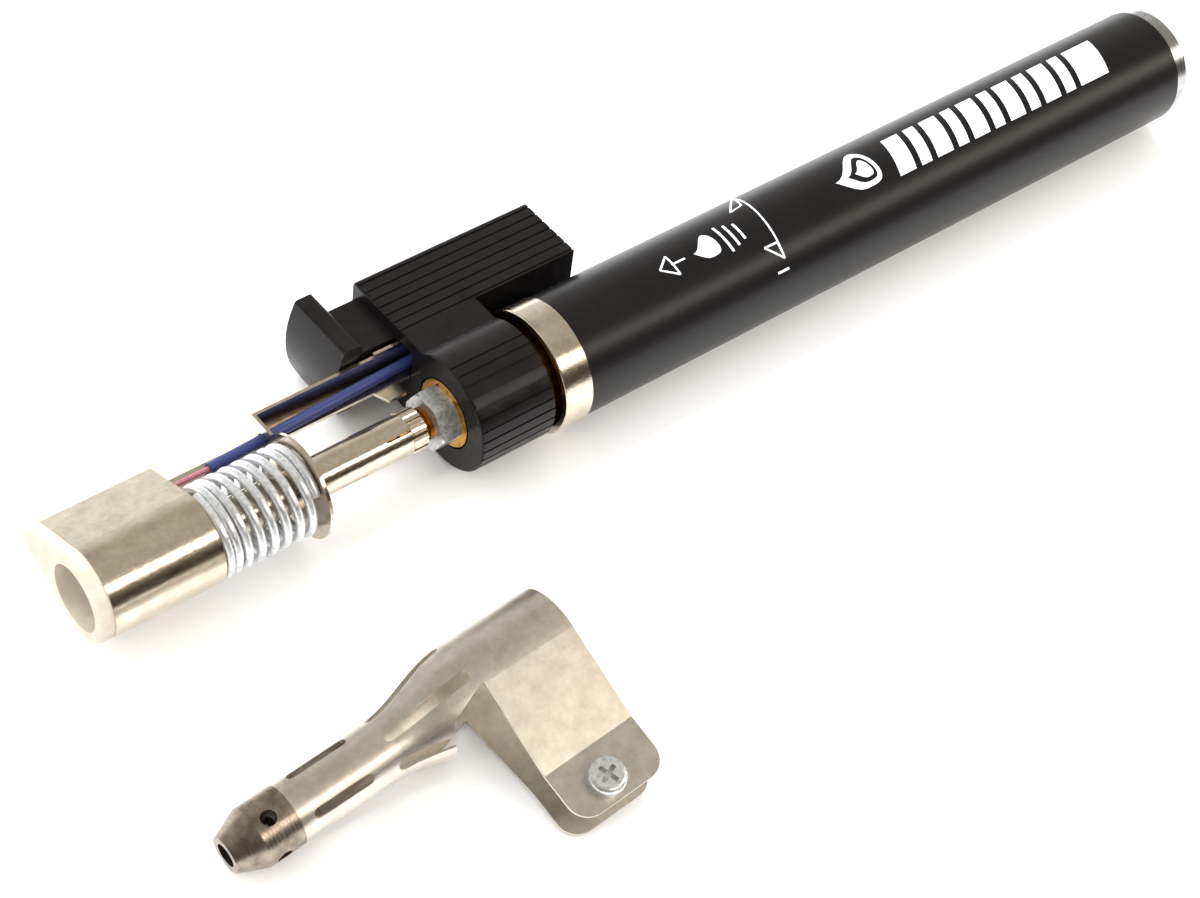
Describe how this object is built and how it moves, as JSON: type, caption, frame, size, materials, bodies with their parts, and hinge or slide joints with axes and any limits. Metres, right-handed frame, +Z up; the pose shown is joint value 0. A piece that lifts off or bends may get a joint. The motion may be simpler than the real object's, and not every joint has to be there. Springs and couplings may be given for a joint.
{
  "type": "butane torch",
  "caption": "Pen-sized butane torch with a turning valve head, a side igniter block with push button, a spring-loaded ceramic burner head and a separate clamp-on soldering tip.",
  "frame": {"origin": "on the gas tube's axis, at the tube's front edge where the collar begins", "axes": "+X along the gas tube from the burner to the filler end, +Z up as the torch lies on a table, +Y towards the igniter block"},
  "size_m": [0.2097, 0.0866, 0.0194],
  "materials": {
    "black_anodised": "satin",
    "bright_aluminium": "satin",
    "nickel_plate": "polished",
    "satin_nickel_sheet": "satin",
    "zinc_plate": "satin",
    "dark_steel": "satin",
    "turned_brass": "polished",
    "black_abs": "satin",
    "ceramic": "matte",
    "lead_sleeve": "satin",
    "wire_sleeve": "satin",
    "seal_rubber": "matte",
    "wick_felt": "matte",
    "piezo_case": "satin",
    "spring_steel": "polished"
  },
  "bodies": {
    "handle": {"gas_tube": "black_anodised", "end_cap": "bright_aluminium", "rear_o_ring": "seal_rubber", "filler_valve_body": "turned_brass", "filler_seal": "seal_rubber", "filler_spring": "spring_steel", "gas_wick": "wick_felt", "front_collar": "nickel_plate", "valve_seat": "turned_brass", "front_o_ring": "seal_rubber"},
    "filler_stem": {"filler_stem": "turned_brass"},
    "valve_head": {"igniter_housing": "black_abs", "valve_body": "turned_brass", "valve_o_ring": "seal_rubber", "valve_needle": "spring_steel", "brass_washer": "turned_brass", "hex_nut": "zinc_plate", "knurled_ferrule": "nickel_plate", "gas_jet": "turned_brass", "burner_tube": "nickel_plate", "flame_screen": "nickel_plate", "wire_bracket": "nickel_plate", "ignition_lead": "lead_sleeve", "electrode_wire": "wire_sleeve", "piezo_unit": "piezo_case", "piezo_crystal": "ceramic", "button_spring": "spring_steel", "coil_spring": "zinc_plate"},
    "igniter_button": {"igniter_button": "black_abs", "piezo_plunger": "piezo_case"},
    "burner_head": {"head_shroud": "nickel_plate", "ceramic_nozzle": "ceramic"},
    "soldering_tip": {"tip_sleeve": "satin_nickel_sheet", "tip_nozzle": "dark_steel"},
    "clamp_screw": {"clamp_screw": "zinc_plate"}
  },
  "joints": [
    {"name": "valve_turn", "type": "hinge", "parent": "handle", "child": "valve_head", "pos_m": [0, 0, 0], "axis": [1, 0, 0], "range_deg": [0, 90]},
    {"name": "button_press", "type": "slide", "parent": "valve_head", "child": "igniter_button", "axis": [1, 0, 0], "range_m": [0, 0.004], "stiffness_N_per_m": 500, "springref_m": -0.002, "deforming": ["button_spring"]},
    {"name": "head_push", "type": "slide", "parent": "valve_head", "child": "burner_head", "axis": [1, 0, 0], "range_m": [0, 0.002], "stiffness_N_per_m": 1500, "springref_m": -0.002, "deforming": ["coil_spring"]},
    {"name": "filler_press", "type": "slide", "parent": "handle", "child": "filler_stem", "axis": [-1, 0, 0], "range_m": [0, 0.0012], "stiffness_N_per_m": 200, "springref_m": -0.001, "deforming": ["filler_spring"]},
    {"name": "tip_lift", "type": "slide", "parent": "handle", "child": "soldering_tip", "axis": [0, 0, 1], "range_m": [0, 0.06]},
    {"name": "screw_turn", "type": "hinge", "parent": "soldering_tip", "child": "clamp_screw", "pos_m": [-0.03549, -0.05797, -0.00459], "axis": [-0.0803, -0.1561, 0.9845], "range_deg": [-360, 0]}
  ]
}
